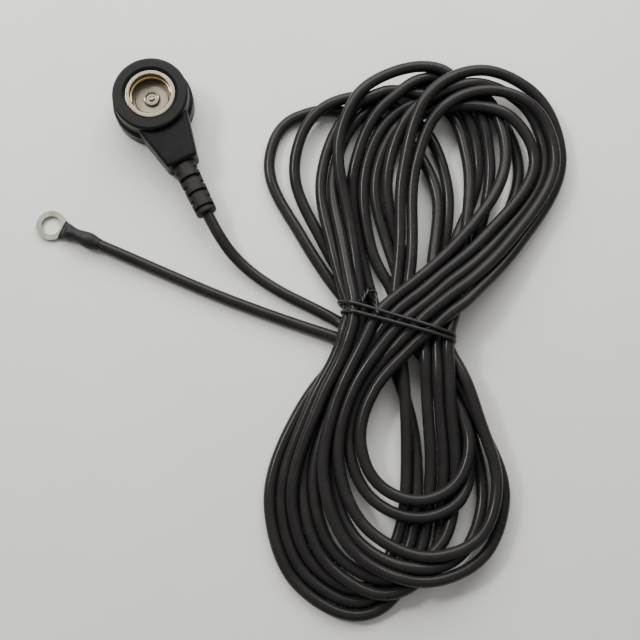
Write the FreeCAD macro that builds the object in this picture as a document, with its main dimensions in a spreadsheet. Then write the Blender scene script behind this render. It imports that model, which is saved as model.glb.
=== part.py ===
import FreeCAD, Part
import math
import os
import Sketcher
from FreeCAD import Placement, Rotation, Vector

# Grounding cord for static-safe work: a moulded 10 mm snap socket with a 1 megohm series resistor inside,
# a long thin cord kept in a tied hank, and a ring terminal under heat shrink at the far end.
# Origin: on the socket's axis, at the housing's flat underside. +Z is the way the socket opens, and the
# cord leaves the housing along -Y. Millimetres and degrees throughout.

DOC = FreeCAD.newDocument("grounding_cord")

SIZES = {
    # housing: a round rear shell and a narrower collar on it, both drawn out into a tapering neck
    "disc_radius": 10.5, "disc_top": 5.0, "disc_edge": 0.8, "housing_floor": 1.6, "cavity_radius": 8.0,
    "lip_radius": 8.9, "lip_top": 6.0, "fit_gap": 0.05,
    "collar_radius": 9.8, "collar_bottom": 5.4, "housing_height": 11.0, "collar_edge": 0.7,
    "recess_radius": 7.3, "web_bottom": 6.5, "neck_start": 4.0, "neck_end": 19.4, "neck_wide": 7.6,
    "neck_narrow": 4.15, "neck_top_high": 9.7, "neck_top_low": 8.9, "neck_bottom_low": 0.5,
    "neck_rounding": 1.2, "neck_end_rounding": 1.0, "channel_start": 7.0, "channel_radius": 2.3,
    "pocket_start": 17.0, "pocket_end": 18.2, "exit_height": 4.8,
    # strain relief, measured back from the socket's axis
    "relief_flange": 3.55, "relief_neck": 3.15, "relief_root": 3.05, "relief_tip": 2.75, "relief_end": 33.8,
    "relief_edge": 0.5, "slot_floor": 2.15, "slot_mouth": 3.3, "slot_wide": 0.62, "slot_narrow": 0.2,
    "slot_pitch": 4.25, "slot_first": 21.6, "slot_short": 96.0, "slot_long": 136.0,
    # snap socket, from its rolled rim down to the riveted eyelet
    "rim_top": 10.6, "rim_bottom": 9.3, "rim_inner": 5.2, "rim_outer": 6.6, "rim_roll": 0.4,
    "wall_inner": 5.9, "wall_outer": 6.2, "crimp_bottom": 7.6, "crimp_inner": 5.5, "flange_bottom": 8.0,
    "flange_top": 8.35, "cup_inner": 5.1, "cup_outer": 5.4, "cup_floor": 6.8, "bead_radius": 4.15,
    "bead_height": 0.3, "spring_radius": 5.25, "spring_wire": 0.4, "spring_height": 8.83,
    "spring_arc": 345.0, "shank_radius": 1.25, "eyelet_radius": 2.15, "eyelet_height": 0.75,
    "washer_radius": 6.5, "washer_thick": 0.4, "tag_thick": 0.4, "tag_ring": 2.7, "tag_width": 2.2,
    "tag_reach": 6.2, "flare_radius": 1.9, "flare_thick": 0.4, "solder_at": 5.6, "solder_wide": 1.0,
    "solder_narrow": 0.6, "solder_depth": 1.4,
    # resistor and splice, measured back from the socket's axis
    "cap_start": 6.8, "resistor_end": 13.4, "resistor_radius": 1.1, "cap_radius": 1.3, "cap_length": 1.3,
    "cap_base": 0.25, "lead_radius": 0.3, "lead_start": 5.2, "splice_start": 14.2, "splice_meet": 15.1,
    "splice_end": 16.2, "splice_radius": 0.9, "conductor_radius": 0.45, "jacket_start": 16.6,
    "sleeve_start": 13.9, "sleeve_end": 16.5, "sleeve_radius": 1.15,
    # cord
    "cord_radius": 1.5,
    # ring terminal, measured from the middle of its ring along its barrel
    "ring_outer": 3.9, "ring_hole": 2.5, "ring_bottom": 0.3, "ring_thick": 0.8, "tongue_half": 1.8,
    "tongue_end": 6.4, "barrel_start": 5.2, "barrel_end": 9.2, "barrel_radius": 1.45, "barrel_bore": 0.8,
    "terminal_axis": 2.15, "strand_start": 6.6, "terminal_jacket": 10.0, "shrink_start": 3.1,
    "shrink_full": 6.4, "shrink_mid": 11.8, "shrink_end": 14.8, "shrink_wall": 0.35,
    # hank and its tie, measured from the middle of the tie
    "hank_height": 8.6, "hank_edge": 2.2, "tie_channel": 1.1, "channel_half": 2.3, "waist_half": 13.5,
    "tie_wire": 0.5, "tie_spread": 1.0, "tie_corner": 1.5, "tie_gap": 0.1, "twist_radius": 0.95,
    "twist_length": 7.5, "twist_across": 6.3, "twist_along": 2.6, "tie_clear": 0.4, "channel_margin": 4.0,
    "upper_middle": 5.6, "upper_start": 17.0, "upper_end": 50.0, "upper_half": 3.0,
    "lower_middle": -3.0, "lower_start": -41.0, "lower_end": -18.0, "lower_half": 5.4,
}

SHEET = DOC.addObject("Spreadsheet::Sheet", "Sheet")
for cell_row, (alias, size) in enumerate(SIZES.items(), start=1):
    SHEET.set("A%d" % cell_row, alias)
    SHEET.set("B%d" % cell_row, str(size))
    SHEET.setAlias("B%d" % cell_row, alias)
DOC.recompute()


class Dim:
    """A size that knows its number and the spreadsheet expression that gives it."""

    def __init__(self, value, text):
        self.value = value
        self.text = text

    def __add__(self, other):
        return Dim(self.value + number(other), "(%s + %s)" % (self.text, wording(other)))

    def __radd__(self, other):
        return self + other

    def __sub__(self, other):
        return Dim(self.value - number(other), "(%s - %s)" % (self.text, wording(other)))

    def __mul__(self, other):
        return Dim(self.value * number(other), "(%s * %s)" % (self.text, wording(other)))

    def __neg__(self):
        return self * -1


def number(size):
    return size.value if isinstance(size, Dim) else float(size)


def wording(size):
    return size.text if isinstance(size, Dim) else "(%r)" % float(size)


def dim(alias):
    return Dim(float(SHEET.get(alias)), "Sheet.%s" % alias)


def bind(thing, prop, size):
    thing.setExpression(prop, wording(size))


# Where the loose pieces lie. The pieces in line with the cord are built along their own Z, which points
# back from the socket's axis; the terminal and the hank have frames of their own, turned about Z.
RING_CENTRE = Vector(-37.6, -17.7, 0)
TERMINAL_TURN = -49.1
HANK_CENTRE = Vector(30.5, -81.4, 0)
HANK_TURN = -26.0
IN_LINE = Placement(Vector(0, 0, number(dim("exit_height"))), Rotation(Vector(1, 0, 0), 90))
AT_TERMINAL = Placement(RING_CENTRE, Rotation(Vector(0, 0, 1), TERMINAL_TURN))
AT_HANK = Placement(HANK_CENTRE, Rotation(Vector(0, 0, 1), HANK_TURN))

# The two leads from the hank, laid on the surface: straight out of the strain relief and down, and from
# inside the terminal's heat shrink to the same side of the hank.
SNAP_ROUTE = [
    (0.0, -33.8, 4.8), (0.1, -39.8, 4.5), (1.3, -46.4, 2.5), (4.1, -53.2, 1.55),
    (8.4, -60.3, 1.5), (13.3, -66.6, 1.7), (19.0, -72.0, 2.8),
]
RING_ROUTE = [
    (-31.05, -25.26, 2.15), (-25.03, -32.21, 2.15), (-17.2, -41.4, 1.55), (-6.6, -53.9, 1.5),
    (5.9, -67.1, 1.5), (15.8, -78.9, 2.8),
]

# Outer outline of the hank: wide loops above the tie, a narrow waist in it, longer loops below it.
HANK_OUTLINE = [
    (-13.2, 0.0), (-17.5, 9.5), (-25.0, 20.5), (-32.0, 32.0), (-34.2, 44.0), (-29.0, 54.5), (-16.0, 60.8),
    (-4.0, 65.6), (10.0, 69.0), (25.0, 69.0), (37.5, 63.0), (44.0, 50.0), (42.0, 35.0), (30.5, 18.0),
    (18.5, 7.0), (13.2, 0.0), (17.5, -13.5), (25.2, -31.5), (27.2, -45.0), (22.5, -58.0), (8.0, -66.0),
    (-9.8, -72.8), (-24.0, -67.5), (-32.3, -53.0), (-32.8, -36.5), (-25.0, -20.5), (-15.5, -6.0),
]


def make_body(label, place=None):
    body = DOC.addObject("PartDesign::Body", label)
    body.Label = label
    if place is not None:
        body.Placement = place
    return body


def make_sketch(body, name, role, lift=0.0, side=0.0):
    """A sketch on one of the body's own planes, moved out along its normal by lift and up it by side."""
    sketch = body.newObject("Sketcher::SketchObject", name)
    plane = [part for part in body.Origin.OriginFeatures if part.Role == role][0]
    sketch.AttachmentSupport = [(plane, "")]
    sketch.MapMode = "FlatFace"
    for prop, size in (("AttachmentOffset.Base.z", lift), ("AttachmentOffset.Base.y", side)):
        if number(size) != 0:
            bind(sketch, prop, size)
    return sketch


def fix_point(sketch, edge, end, x, y):
    """Holds one end of an edge at x, y from the sketch's origin."""
    for size, kind, axis in ((x, "DistanceX", -2), (y, "DistanceY", -1)):
        if number(size) == 0:
            sketch.addConstraint(Sketcher.Constraint("PointOnObject", edge, end, axis))
            continue
        index = sketch.addConstraint(Sketcher.Constraint(kind, -1, 1, edge, end, number(size)))
        if isinstance(size, Dim):
            bind(sketch, "Constraints[%d]" % index, size)


def bowed_edge(first, last, radius):
    """A short arc from first to last; a positive radius bows it to the right of that way."""
    chord = last - first
    half = chord.Length / 2
    bow = abs(radius) - math.sqrt(max(radius * radius - half * half, 0.0))
    aside = Vector(chord.y, -chord.x, 0).normalize() * math.copysign(bow, radius)
    return Part.ArcOfCircle(first, (first + last) / 2 + aside, last)


def outline(sketch, corners):
    """A closed outline. A corner is (x, y), or (x, y, radius) when the edge that reaches it is an arc.

    The ends of a half circle already give its radius, so only a shorter arc has its radius held as well.
    """
    points = [Vector(number(corner[0]), number(corner[1]), 0) for corner in corners]
    edges = []
    for i, corner in enumerate(corners):
        last = points[i]
        if len(corner) == 3:
            edge = sketch.addGeometry(bowed_edge(points[i - 1], last, number(corner[2])), False)
            arrives = 2 if sketch.getPoint(edge, 2).distanceToPoint(last) < 1e-6 else 1
            radius = abs(number(corner[2]))
            if radius > 0.505 * points[i - 1].distanceToPoint(last):
                sketch.addConstraint(Sketcher.Constraint("Radius", edge, radius))
        else:
            edge = sketch.addGeometry(Part.LineSegment(points[i - 1], last), False)
            arrives = 2
        fix_point(sketch, edge, arrives, corner[0], corner[1])
        edges.append((edge, arrives))
    for i, (edge, arrives) in enumerate(edges):
        before, before_end = edges[i - 1]
        sketch.addConstraint(Sketcher.Constraint("Coincident", before, before_end, edge, 3 - arrives))


def circle(sketch, radius, x=0.0, y=0.0):
    middle = Vector(number(x), number(y), 0)
    edge = sketch.addGeometry(Part.Circle(middle, Vector(0, 0, 1), number(radius)), False)
    fix_point(sketch, edge, 3, x, y)
    index = sketch.addConstraint(Sketcher.Constraint("Radius", edge, number(radius)))
    bind(sketch, "Constraints[%d]" % index, radius)


def revolve(body, name, sketch, angle=360.0, kind="Revolution", axis="V_Axis", centred=False):
    feature = body.newObject("PartDesign::" + kind, name)
    feature.Profile = sketch
    feature.ReferenceAxis = (sketch, [axis])
    feature.Midplane = centred
    if isinstance(angle, Dim):
        bind(feature, "Angle", angle)
    else:
        feature.Angle = angle
    return feature


def extrude(body, name, sketch, length, kind="Pad", back=False):
    feature = body.newObject("PartDesign::" + kind, name)
    feature.Profile = sketch
    bind(feature, "Length", length)
    feature.Reversed = back
    return feature


def loft(body, name, sketches):
    feature = body.newObject("PartDesign::AdditiveLoft", name)
    feature.Profile = sketches[0]
    feature.Sections = sketches[1:]
    feature.Ruled = True
    return feature


def round_edges(body, name, wanted, radius):
    """Fillets the edges of the body's last feature that the test picks."""
    DOC.recompute()
    base = body.Tip
    names = ["Edge%d" % i for i, edge in enumerate(base.Shape.Edges, start=1) if wanted(edge)]
    feature = body.newObject("PartDesign::Fillet", name)
    feature.Base = (base, names)
    bind(feature, "Radius", radius)
    return feature


def removed(body, feature_name):
    """Checks that a cut took something away, and returns the volume it took."""
    DOC.recompute()
    cut = DOC.getObject(feature_name)
    taken = cut.BaseFeature.Shape.Volume - cut.Shape.Volume
    if taken <= 0:
        raise RuntimeError("%s of %s cuts nothing" % (feature_name, body.Label))
    return taken


def turned_body(label, corners, place=None, angle=360.0):
    """A body turned about its own Z from corners (distance from the axis, height)."""
    body = make_body(label, place)
    sketch = make_sketch(body, label + "_profile", "XZ_Plane")
    outline(sketch, corners)
    revolve(body, label + "_turned", sketch, angle)
    return body


def tube_corners(inner, outer, start, end):
    return [(inner, start), (outer, start), (outer, end), (inner, end)]


def make_cylinder(name, radius, start, end, place=None):
    """A cylinder along its own Z from start to end."""
    rod = DOC.addObject("Part::Cylinder", name)
    rod.Label = name
    bind(rod, "Radius", radius)
    bind(rod, "Height", end - start)
    spot = Placement(Vector(0, 0, number(start)), Rotation())
    rod.Placement = place.multiply(spot) if place is not None else spot
    return rod


def make_cut(name, base, tool):
    cut = DOC.addObject("Part::Cut", name)
    cut.Label = name
    cut.Base = base
    cut.Tool = tool
    return cut


def make_group(name, pieces):
    group = DOC.addObject("Part::Compound", name)
    group.Label = name
    group.Links = pieces
    return group


# ---------------------------------------------------------------- housing


def neck_section(sketch, half_width, low, high, rounded_top):
    """Half of the neck's section, from the parting line, with its two outer corners rounded."""
    turn = dim("neck_rounding")
    flat = half_width - turn
    if rounded_top:
        outline(sketch, [
            (-half_width, low), (half_width, low), (half_width, high - turn), (flat, high, turn),
            (-flat, high), (-half_width, high - turn, turn),
        ])
    else:
        outline(sketch, [
            (half_width, high), (-half_width, high), (-half_width, low + turn), (-flat, low, turn),
            (flat, low), (half_width, low + turn, turn),
        ])


def add_neck(body, near_heights, far_heights, rounded_top):
    """The tapering neck, from inside the round part to the strain relief, with its far end rounded."""
    sketches = []
    for name, lift, half_width, heights in (
        ("near", "neck_start", "neck_wide", near_heights), ("far", "neck_end", "neck_narrow", far_heights),
    ):
        sketch = make_sketch(body, "%s_%s" % (body.Label, name), "XZ_Plane", lift=dim(lift))
        neck_section(sketch, dim(half_width), heights[0], heights[1], rounded_top)
        sketches.append(sketch)
    loft(body, body.Label + "_neck", sketches)

    parting = number(dim("disc_top"))
    end = -number(dim("neck_end"))

    def is_end_edge(edge):
        box = edge.BoundBox
        at_end = abs(box.YMin - end) < 0.01 and abs(box.YMax - end) < 0.01
        on_parting = abs(box.ZMin - parting) < 0.01 and abs(box.ZMax - parting) < 0.01
        return at_end and not on_parting

    round_edges(body, body.Label + "_end_rounding", is_end_edge, dim("neck_end_rounding"))


def cut_cable_way(body):
    """The stepped way along the neck: room for the resistor, a pocket for the relief's flange, its hole."""
    sketch = make_sketch(body, body.Label + "_way_profile", "YZ_Plane", side=dim("exit_height"))
    room = dim("channel_radius")
    pocket = dim("relief_flange") + dim("fit_gap")
    hole = dim("relief_neck") + dim("fit_gap")
    start = -dim("channel_start")
    step = -dim("pocket_start")
    shoulder = -dim("pocket_end")
    outside = -dim("neck_end") - 1.0
    outline(sketch, [
        (outside, 0), (start, 0), (start, room), (step, room), (step, pocket), (shoulder, pocket),
        (shoulder, hole), (outside, hole),
    ])
    revolve(body, body.Label + "_way", sketch, kind="Groove", axis="H_Axis")
    removed(body, body.Label + "_way")


def make_rear_shell():
    body = make_body("rear_shell")
    sketch = make_sketch(body, "rear_profile", "XZ_Plane")
    edge = dim("disc_edge")
    outline(sketch, [
        (0, 0), (dim("disc_radius") - edge, 0), (dim("disc_radius"), edge, edge),
        (dim("disc_radius"), dim("disc_top")), (dim("lip_radius"), dim("disc_top")),
        (dim("lip_radius"), dim("lip_top")), (0, dim("lip_top")),
    ])
    revolve(body, "rear_round", sketch)
    parting = dim("disc_top")
    add_neck(body, (0.0, parting), (dim("neck_bottom_low"), parting), False)
    hollow = make_sketch(body, "rear_hollow_profile", "XZ_Plane")
    outline(hollow, tube_corners(0, dim("cavity_radius"), dim("housing_floor"), dim("lip_top") + 1.0))
    revolve(body, "rear_hollow", hollow, kind="Groove")
    removed(body, "rear_hollow")
    cut_cable_way(body)
    return body


def make_front_shell():
    body = make_body("front_shell")
    sketch = make_sketch(body, "front_profile", "XZ_Plane")
    edge = dim("collar_edge")
    top = dim("housing_height")
    outline(sketch, [
        (0, dim("collar_bottom")), (dim("collar_radius"), dim("collar_bottom")),
        (dim("collar_radius"), top - edge), (dim("collar_radius") - edge, top, edge), (0, top),
    ])
    revolve(body, "front_round", sketch)
    parting = dim("disc_top")
    add_neck(body, (parting, dim("neck_top_high")), (parting, dim("neck_top_low")), True)

    gap = dim("fit_gap")
    stack = make_sketch(body, "front_stack_profile", "XZ_Plane")
    outline(stack, [
        (0, dim("disc_top") - 1.0), (dim("lip_radius") + gap, dim("disc_top") - 1.0),
        (dim("lip_radius") + gap, dim("lip_top") + gap), (dim("cavity_radius"), dim("lip_top") + gap),
        (dim("cavity_radius"), dim("web_bottom")), (dim("cup_outer") + gap, dim("web_bottom")),
        (dim("cup_outer") + gap, dim("crimp_bottom")), (dim("wall_outer") + gap, dim("crimp_bottom")),
        (dim("wall_outer") + gap, dim("rim_bottom")), (dim("rim_outer") + gap, dim("rim_bottom")),
        (dim("rim_outer") + gap, dim("rim_top")), (dim("recess_radius"), top), (0, top),
    ])
    revolve(body, "front_stack", stack, kind="Groove")
    removed(body, "front_stack")
    cut_cable_way(body)
    return body


def cut_slot_row(body, name, role, side, first, angle):
    """Three slots along one side of the strain relief, each wider at its mouth than at its floor."""
    sketch = make_sketch(body, name + "_profile", role)
    floor = dim("slot_floor") * side
    mouth = dim("slot_mouth") * side
    outline(sketch, [
        (floor, first - dim("slot_narrow")), (mouth, first - dim("slot_wide")),
        (mouth, first + dim("slot_wide")), (floor, first + dim("slot_narrow")),
    ])
    groove = revolve(body, name, sketch, angle, kind="Groove", centred=True)
    removed(body, name)
    pattern = body.newObject("PartDesign::LinearPattern", name + "_row")
    pattern.Originals = [groove]
    pattern.Direction = (sketch, ["V_Axis"])
    bind(pattern, "Length", dim("slot_pitch") * 2)
    pattern.Occurrences = 3
    body.Tip = pattern


def make_strain_relief():
    """A flanged, tapering sleeve with slots at its sides and, halfway between them, above and below."""
    inner = dim("cord_radius")
    tip = dim("relief_tip")
    edge = dim("relief_edge")
    end = dim("relief_end")
    flange_start = dim("pocket_start") + dim("fit_gap")
    flange_end = dim("pocket_end") - dim("fit_gap")
    outside = dim("neck_end") + dim("fit_gap")
    body = turned_body("strain_relief", [
        (inner, flange_start), (dim("relief_flange"), flange_start), (dim("relief_flange"), flange_end),
        (dim("relief_neck"), flange_end), (dim("relief_neck"), outside), (dim("relief_root"), outside),
        (tip, end - edge), (tip - edge, end, edge), (inner, end),
    ], IN_LINE)
    first = dim("slot_first")
    between = first + dim("slot_pitch") * 0.5
    for side, right_or_left, above_or_below in ((1, "right", "above"), (-1, "left", "below")):
        cut_slot_row(body, "slot_" + right_or_left, "XZ_Plane", side, first, dim("slot_short"))
        cut_slot_row(body, "slot_" + above_or_below, "YZ_Plane", side, between, dim("slot_long"))
    return body


# ---------------------------------------------------------------- snap socket


def make_socket_shell():
    """The rolled rim that shows, the wall below it and the lip crimped in under the cup's flange."""
    roll = dim("rim_roll")
    land_top = dim("rim_top") - roll
    return turned_body("socket_shell", [
        (dim("rim_inner"), land_top, roll), (dim("rim_inner"), dim("rim_bottom")),
        (dim("wall_inner"), dim("rim_bottom")), (dim("wall_inner"), dim("flange_bottom")),
        (dim("crimp_inner"), dim("flange_bottom")),
        (dim("crimp_inner"), dim("crimp_bottom")), (dim("wall_outer"), dim("crimp_bottom")),
        (dim("wall_outer"), dim("rim_bottom")), (dim("rim_outer"), dim("rim_bottom")),
        (dim("rim_outer"), land_top), (dim("rim_outer") - roll, dim("rim_top"), roll),
        (dim("rim_inner") + roll, dim("rim_top")),
    ])


def make_retaining_spring():
    body = make_body("retaining_spring")
    sketch = make_sketch(body, "spring_section", "XZ_Plane")
    circle(sketch, dim("spring_wire"), dim("spring_radius"), dim("spring_height"))
    revolve(body, "spring_turned", sketch, dim("spring_arc"), centred=True)
    return body


def make_socket_cup():
    """The drawn cup: flange, wall, and a floor with a raised bead round it and a hole for the eyelet."""
    floor_top = dim("cup_floor")
    under = dim("web_bottom")
    bead = dim("bead_height")
    bead_at = dim("bead_radius")
    hole = dim("shank_radius") + dim("fit_gap")
    return turned_body("socket_cup", [
        (hole, under), (dim("cup_outer"), under), (dim("cup_outer"), dim("flange_bottom")),
        (dim("wall_inner") - 0.05, dim("flange_bottom")), (dim("wall_inner") - 0.05, dim("flange_top")),
        (dim("cup_inner"), dim("flange_top")), (dim("cup_inner"), floor_top), (bead_at + bead, floor_top),
        (bead_at - bead, floor_top, bead + 0.02), (hole, floor_top),
    ])


def make_socket_eyelet():
    """The rivet through the cup's floor: a ring-shaped head with a raised middle, and a flared tail."""
    floor_top = dim("cup_floor")
    top = floor_top + dim("eyelet_height")
    tag_under = dim("web_bottom") - dim("washer_thick") - dim("tag_thick")
    return turned_body("socket_eyelet", [
        (0, tag_under - dim("flare_thick")), (dim("flare_radius"), tag_under - dim("flare_thick")),
        (dim("flare_radius"), tag_under), (dim("shank_radius"), tag_under), (dim("shank_radius"), floor_top),
        (dim("eyelet_radius"), floor_top), (dim("eyelet_radius"), top - 0.4),
        (dim("eyelet_radius") - 0.4, top, 0.4), (dim("eyelet_radius") - 0.8, top - 0.4, 0.4),
        (0.9, top - 0.4), (0.4, top - 0.15, 1.0), (0, top - 0.15),
    ])


def make_backing_washer():
    body = make_body("backing_washer")
    sketch = make_sketch(body, "washer_outline", "XY_Plane", lift=dim("web_bottom") - dim("washer_thick"))
    circle(sketch, dim("washer_radius"))
    circle(sketch, dim("shank_radius") + dim("fit_gap"))
    extrude(body, "washer_plate", sketch, dim("washer_thick"))
    return body


def make_solder_tag():
    """A flat ring under the washer with a tongue that reaches back to the resistor's lead."""
    body = make_body("solder_tag")
    under = dim("web_bottom") - dim("washer_thick") - dim("tag_thick")
    tongue = make_sketch(body, "tag_tongue_outline", "XY_Plane", lift=under)
    half = dim("tag_width") * 0.5
    outline(tongue, [(-half, 0), (-half, -dim("tag_reach")), (half, -dim("tag_reach")), (half, 0)])
    extrude(body, "tag_tongue", tongue, dim("tag_thick"))
    ring = make_sketch(body, "tag_ring_outline", "XY_Plane", lift=under)
    circle(ring, dim("tag_ring"))
    extrude(body, "tag_ring", ring, dim("tag_thick"))
    hole = make_sketch(body, "tag_hole_outline", "XY_Plane", lift=under)
    circle(hole, dim("shank_radius") + dim("fit_gap"))
    extrude(body, "tag_hole", hole, dim("tag_thick"), kind="Pocket", back=True)
    removed(body, "tag_hole")
    return body


# ---------------------------------------------------------------- resistor, splice, cord's end


def make_resistor():
    start = dim("cap_start")
    end = dim("resistor_end")
    base = dim("cap_base")
    rod = make_cylinder("resistor_body", dim("resistor_radius"), start + base, end - base, IN_LINE)
    caps = []
    for name, low, high in (("front", start, start + dim("cap_length")), ("rear", end - dim("cap_length"), end)):
        outer = make_cylinder(name + "_cap_outer", dim("cap_radius"), low, high, IN_LINE)
        caps.append(make_cut(name + "_cap", outer, rod))
    group = make_group("resistor_caps", caps)
    near = make_cylinder("near_lead", dim("lead_radius"), dim("lead_start"), start, IN_LINE)
    far = make_cylinder("far_lead", dim("lead_radius"), end, dim("splice_meet"), IN_LINE)
    return [rod, group, make_group("resistor_leads", [near, far])], near


def make_solder_joint(lead):
    """A small cone of solder between the tag's underside and the resistor's lead."""
    cone = DOC.addObject("Part::Cone", "solder_cone")
    bind(cone, "Radius1", dim("solder_narrow"))
    bind(cone, "Radius2", dim("solder_wide"))
    bind(cone, "Height", dim("solder_depth"))
    under = dim("web_bottom") - dim("washer_thick") - dim("tag_thick")
    cone.Placement = Placement(
        Vector(0, -number(dim("solder_at")), number(under - dim("solder_depth"))), Rotation())
    return make_cut("solder_joint", cone, lead)


def make_lead_splice():
    """The crimped barrel that joins the resistor's lead to the cord's conductor, bored to fit each."""
    return turned_body("lead_splice", [
        (dim("lead_radius"), dim("splice_start")), (dim("splice_radius"), dim("splice_start")),
        (dim("splice_radius"), dim("splice_end")), (dim("conductor_radius"), dim("splice_end")),
        (dim("conductor_radius"), dim("splice_meet")), (dim("lead_radius"), dim("splice_meet")),
    ], IN_LINE)


def make_cord_end():
    sleeve = turned_body("splice_sleeve", tube_corners(
        dim("splice_radius"), dim("sleeve_radius"), dim("sleeve_start"), dim("sleeve_end")), IN_LINE)
    conductor = make_cylinder(
        "snap_conductor", dim("conductor_radius"), dim("splice_meet"), dim("jacket_start"), IN_LINE)
    tail = make_cylinder("cord_tail", dim("cord_radius"), dim("jacket_start"), dim("relief_end"), IN_LINE)
    return [sleeve, conductor, tail]


# ---------------------------------------------------------------- leads


def lead_wire(route):
    """Straight runs joined by tangent arcs, each arc as large as its two runs allow."""
    points = [Vector(*point) for point in route]
    edges = []
    radii = []
    start = points[0]
    for before, corner, after in zip(points, points[1:], points[2:]):
        back = (before - corner)
        ahead = (after - corner)
        reach = 0.45 * min(back.Length, ahead.Length)
        half_turn = (math.pi - back.getAngle(ahead)) / 2
        radius = reach / math.tan(half_turn)
        radii.append(radius)
        back.normalize()
        ahead.normalize()
        inward = (back + ahead).normalize()
        middle = corner + inward * (radius / math.cos(half_turn) - radius)
        edges.append(Part.LineSegment(start, corner + back * reach).toShape())
        edges.append(Part.Arc(corner + back * reach, middle, corner + ahead * reach).toShape())
        start = corner + ahead * reach
    edges.append(Part.LineSegment(start, points[-1]).toShape())
    return Part.Wire(edges), radii


def make_lead(label, route):
    path, radii = lead_wire(route)
    radius = number(dim("cord_radius"))
    way = Vector(*route[1]) - Vector(*route[0])
    section = Part.Wire([Part.Circle(Vector(*route[0]), way, radius).toShape()])
    lead = DOC.addObject("Part::Feature", label)
    lead.Label = label
    lead.Shape = path.makePipeShell([section], True, False)
    expected = math.pi * radius ** 2 * path.Length
    print("%s: length %.1f, radii %s, volume ratio %.4f" % (
        label, path.Length, ["%.1f" % r for r in radii], lead.Shape.Volume / expected))
    return lead


# ---------------------------------------------------------------- ring terminal


def make_ring_terminal():
    """A flat ring with a tongue that runs in under a round barrel."""
    body = make_body("ring_terminal", AT_TERMINAL)
    tongue = make_sketch(body, "tongue_outline", "XY_Plane", lift=dim("ring_bottom"))
    half = dim("tongue_half")
    outline(tongue, [(0, -half), (dim("tongue_end"), -half), (dim("tongue_end"), half), (0, half)])
    extrude(body, "tongue_plate", tongue, dim("ring_thick"))
    ring = make_sketch(body, "ring_outline", "XY_Plane", lift=dim("ring_bottom"))
    circle(ring, dim("ring_outer"))
    extrude(body, "ring_plate", ring, dim("ring_thick"))
    barrel = make_sketch(body, "barrel_profile", "XZ_Plane", side=dim("terminal_axis"))
    outline(barrel, [
        (dim("barrel_start"), 0), (dim("barrel_end"), 0), (dim("barrel_end"), dim("barrel_radius")),
        (dim("barrel_start"), dim("barrel_radius")),
    ])
    revolve(body, "barrel_round", barrel, axis="H_Axis")
    bore = make_sketch(body, "bore_profile", "XZ_Plane", side=dim("terminal_axis"))
    outline(bore, [
        (dim("strand_start"), 0), (dim("barrel_end") + 1.0, 0), (dim("barrel_end") + 1.0, dim("barrel_bore")),
        (dim("strand_start"), dim("barrel_bore")),
    ])
    revolve(body, "barrel_bore", bore, kind="Groove", axis="H_Axis")
    removed(body, "barrel_bore")
    hole = make_sketch(body, "ring_hole_outline", "XY_Plane", lift=dim("ring_bottom"))
    circle(hole, dim("ring_hole"))
    extrude(body, "ring_hole", hole, dim("ring_thick"), kind="Pocket", back=True)
    removed(body, "ring_hole")
    return body


def make_terminal_conductor():
    """The cord's stripped strands, bunched in the terminal's barrel."""
    strands = make_cylinder("terminal_conductor", dim("barrel_bore"), dim("strand_start"), dim("terminal_jacket"))
    along_barrel = Placement(Vector(0, 0, number(dim("terminal_axis"))), Rotation(Vector(0, 1, 0), 90))
    strands.Placement = AT_TERMINAL.multiply(along_barrel).multiply(strands.Placement)
    return strands


def flat_oval(sketch, half_width, low, high):
    """An oval with flat top and bottom and half-round sides."""
    radius = (high - low) * 0.5
    flat = half_width - radius
    outline(sketch, [(-flat, low, radius), (flat, low), (flat, high, radius), (-flat, high)])


def make_heat_shrink(inside):
    """Shrunk tubing: flat over the ring's tongue, round over the barrel, close on the cord."""
    body = make_body("shrink_blank", AT_TERMINAL)
    axis = dim("terminal_axis")
    wall = dim("shrink_wall")
    full = dim("barrel_radius") + wall
    close = dim("cord_radius") + wall
    stations = [
        (dim("shrink_start"), dim("tongue_half") + 0.8, 0.0, dim("ring_bottom") + dim("ring_thick") + 0.3),
        (dim("shrink_full"), full + 0.25, 0.0, axis + full),
        (dim("shrink_mid"), full + 0.3, axis - full, axis + full),
        (dim("shrink_end"), close + 0.1, axis - close, axis + close),
    ]
    sketches = []
    for i, (along, half_width, low, high) in enumerate(stations):
        sketch = make_sketch(body, "shrink_section_%d" % i, "YZ_Plane", lift=along)
        flat_oval(sketch, half_width, low, high)
        sketches.append(sketch)
    loft(body, "shrink_skin", sketches)
    fill = DOC.addObject("Part::MultiFuse", "shrink_fill")
    fill.Shapes = inside
    return make_cut("heat_shrink", body, fill)


# ---------------------------------------------------------------- hank and tie


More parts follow.
